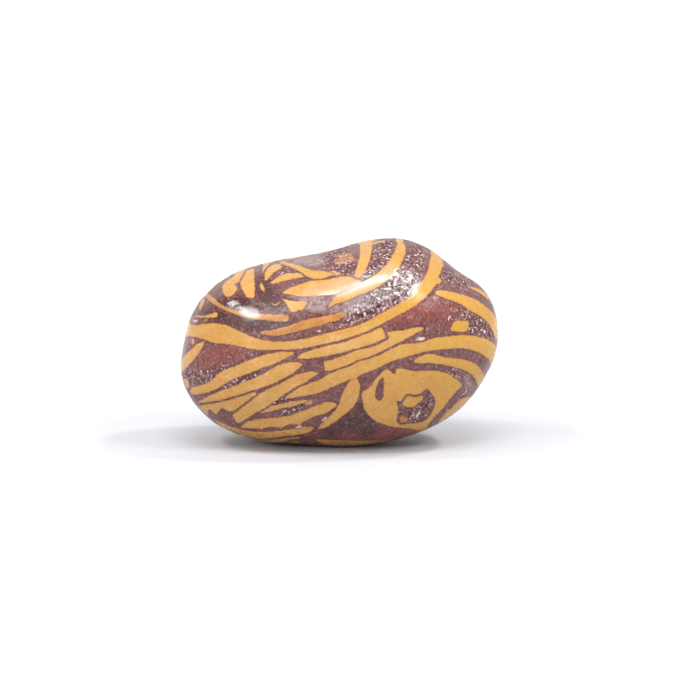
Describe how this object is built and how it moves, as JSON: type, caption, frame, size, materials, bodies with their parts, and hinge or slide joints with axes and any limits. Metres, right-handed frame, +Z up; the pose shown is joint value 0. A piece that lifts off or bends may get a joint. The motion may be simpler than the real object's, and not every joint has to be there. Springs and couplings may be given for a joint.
{
  "type": "jasper pebble",
  "caption": "Tumbled, polished pebble of red jasper with golden-yellow blade-like bands and a raised lobe at one end, resting on a small flat spot.",
  "frame": {"origin": "under the middle of the stone, at the level of the flat spot that it rests on", "axes": "+X along the length, away from the end with the raised lobe; +Y along the depth, away from the front, which has the swirl of bands; +Z up"},
  "size_m": [0.03, 0.0174, 0.0194],
  "materials": {
    "jasper": "polished stone, glossy over the bands and finely pitted over the red ground"
  },
  "bodies": {
    "root": {"jasper": "jasper"}
  },
  "joints": []
}
